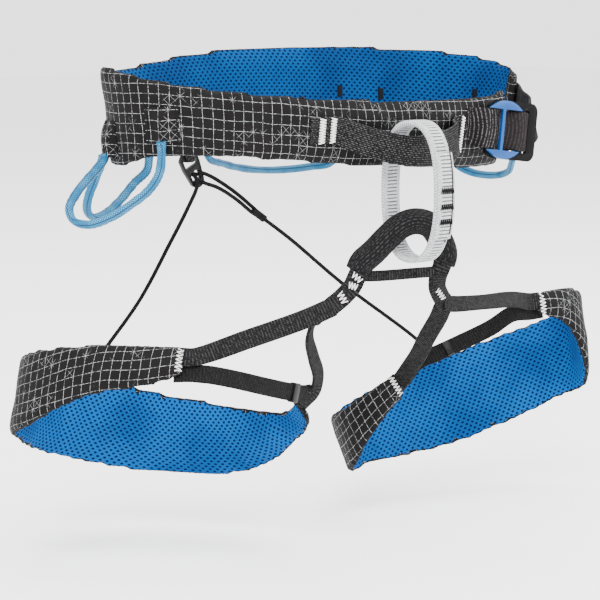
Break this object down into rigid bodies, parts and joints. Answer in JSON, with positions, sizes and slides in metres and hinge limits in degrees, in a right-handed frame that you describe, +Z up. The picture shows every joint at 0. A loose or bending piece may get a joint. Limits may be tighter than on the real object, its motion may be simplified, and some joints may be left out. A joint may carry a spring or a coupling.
{
  "type": "climbing harness",
  "caption": "Padded climbing harness: waist belt with slide-block buckle, belay loop, tie-in webbing, two leg loops on risers, gear loops and an elastic rear riser.",
  "frame": {"origin": "centre of the waist belt's opening, at the height of its padding's middle", "axes": "+X to the wearer's left, +Y to the wearer's back, +Z up"},
  "size_m": [0.5084, 0.2811, 0.3493],
  "materials": {
    "shell": "woven ripstop, matt",
    "foam": "closed-cell padding, matt",
    "lining": "spacer mesh, matt",
    "webbing": "woven webbing",
    "greyWebbing": "woven webbing",
    "thread": "bar-tack stitching",
    "darkThread": "bar-tack stitching",
    "belay": "woven webbing",
    "gear": "moulded ribbed sleeve",
    "anodised": "blue anodised",
    "frame": "satin black",
    "clip": "moulded, semi-gloss",
    "elastic": "woven elastic",
    "cord": "braided elastic cord"
  },
  "bodies": {
    "waist_belt": {"waist_outer_shell": "shell", "waist_foam_core": "foam", "waist_mesh_lining": "lining", "waist_tie_in_webbing": "webbing", "tie_in_tack_outer": "thread", "tie_in_tack_inner": "thread", "tie_in_tack_buckle_side": "thread", "haul_tab_right": "webbing", "haul_tab_left": "webbing", "lining_stitch_bar_right": "darkThread", "lining_stitch_bar_centre": "darkThread", "lining_stitch_bar_left": "darkThread", "buckle_frame": "frame", "buckle_strap": "greyWebbing", "buckle_anchor_strap": "webbing", "rear_loop": "webbing", "gear_tunnel_right_front": "shell", "gear_tunnel_right_rear": "shell", "gear_tunnel_left_rear": "shell", "gear_tunnel_left_front": "shell"},
    "buckle_slider": {"buckle_slider": "anodised"},
    "gear_loop_right_front": {"gear_loop_right_front": "gear"},
    "gear_loop_right_rear": {"gear_loop_right_rear": "gear"},
    "gear_loop_left_rear": {"gear_loop_left_rear": "gear"},
    "gear_loop_left_front": {"gear_loop_left_front": "gear"},
    "leg_suspension": {"leg_tie_in_sleeve": "webbing", "right_riser": "webbing", "right_riser_tack_1": "thread", "right_riser_tack_2": "thread", "left_riser": "webbing", "left_riser_tack_1": "thread", "cross_strap": "webbing", "rear_clip": "clip", "riser_cord_right": "cord", "riser_cord_loop_upper": "cord", "riser_cord_loop_lower": "cord", "riser_cord_left": "cord", "riser_cord_sleeve": "clip"},
    "belay_loop": {"belay_loop": "belay", "belay_loop_tail": "belay", "belay_tack_1": "darkThread", "belay_tack_2": "darkThread", "belay_tack_3": "darkThread"},
    "right_leg": {"right_leg_outer_shell": "shell", "right_leg_foam_core": "foam", "right_leg_mesh_lining": "lining", "right_front_arm": "webbing", "right_inner_arm": "webbing", "right_elastic_strap": "elastic", "right_leg_front_tack": "thread"},
    "left_leg": {"left_leg_outer_shell": "shell", "left_leg_foam_core": "foam", "left_leg_mesh_lining": "lining", "left_outer_arm": "webbing", "left_inner_arm": "webbing", "left_elastic_strap": "elastic", "left_leg_outer_tack": "thread", "left_leg_inner_tack": "thread"},
    "right_strap_hook": {"right_strap_hook": "clip"},
    "left_strap_hook": {"left_strap_hook": "clip"}
  },
  "joints": [
    {"name": "leg_assembly_swing", "type": "hinge", "parent": "waist_belt", "child": "leg_suspension", "pos_m": [-0.036, -0.0165, -0.0175], "axis": [-0.2818, 0.9476, -0.1506], "range_deg": [-12, 12]},
    {"name": "belay_loop_twist", "type": "hinge", "parent": "leg_suspension", "child": "belay_loop", "pos_m": [-0.007, -0.114, -0.05], "axis": [0, 0, 1], "range_deg": [-8, 8]},
    {"name": "right_leg_swing", "type": "hinge", "parent": "leg_suspension", "child": "right_leg", "pos_m": [-0.09865, 0.01715, -0.1655], "axis": [-0.2519, 0.9213, -0.2961], "range_deg": [-12, 12]},
    {"name": "left_leg_swing", "type": "hinge", "parent": "leg_suspension", "child": "left_leg", "pos_m": [0.11425, -0.0164, -0.1764], "axis": [0.6317, 0.6964, -0.3405], "range_deg": [-12, 12]},
    {"name": "buckle_slide", "type": "slide", "parent": "waist_belt", "child": "buckle_slider", "axis": [0.9925, 0, -0.1219], "range_m": [-0.002, 0.002]},
    {"name": "gear_loop_right_front_swing", "type": "hinge", "parent": "waist_belt", "child": "gear_loop_right_front", "pos_m": [-0.18484, -0.01019, -0.01838], "axis": [-0.1847, 0.9537, -0.2375], "range_deg": [0, 60]},
    {"name": "gear_loop_right_rear_swing", "type": "hinge", "parent": "waist_belt", "child": "gear_loop_right_rear", "pos_m": [-0.14269, 0.05566, -0.02133], "axis": [0.8923, 0.4413, 0.0956], "range_deg": [0, 60]},
    {"name": "gear_loop_left_rear_swing", "type": "hinge", "parent": "waist_belt", "child": "gear_loop_left_rear", "pos_m": [0.02497, 0.07832, -0.02321], "axis": [0.9979, -0.0424, -0.0498], "range_deg": [0, 60]},
    {"name": "gear_loop_left_front_swing", "type": "hinge", "parent": "waist_belt", "child": "gear_loop_left_front", "pos_m": [0.17761, 0.00203, -0.03368], "axis": [0.053, -0.9956, 0.0769], "range_deg": [0, 60]},
    {"name": "right_strap_hook_slide", "type": "slide", "parent": "right_leg", "child": "right_strap_hook", "axis": [0.9296, 0.2692, -0.2519], "range_m": [-0.004, 0.004]},
    {"name": "left_strap_hook_slide", "type": "slide", "parent": "left_leg", "child": "left_strap_hook", "axis": [0.8135, -0.4295, 0.3922], "range_m": [-0.004, 0.004]}
  ]
}
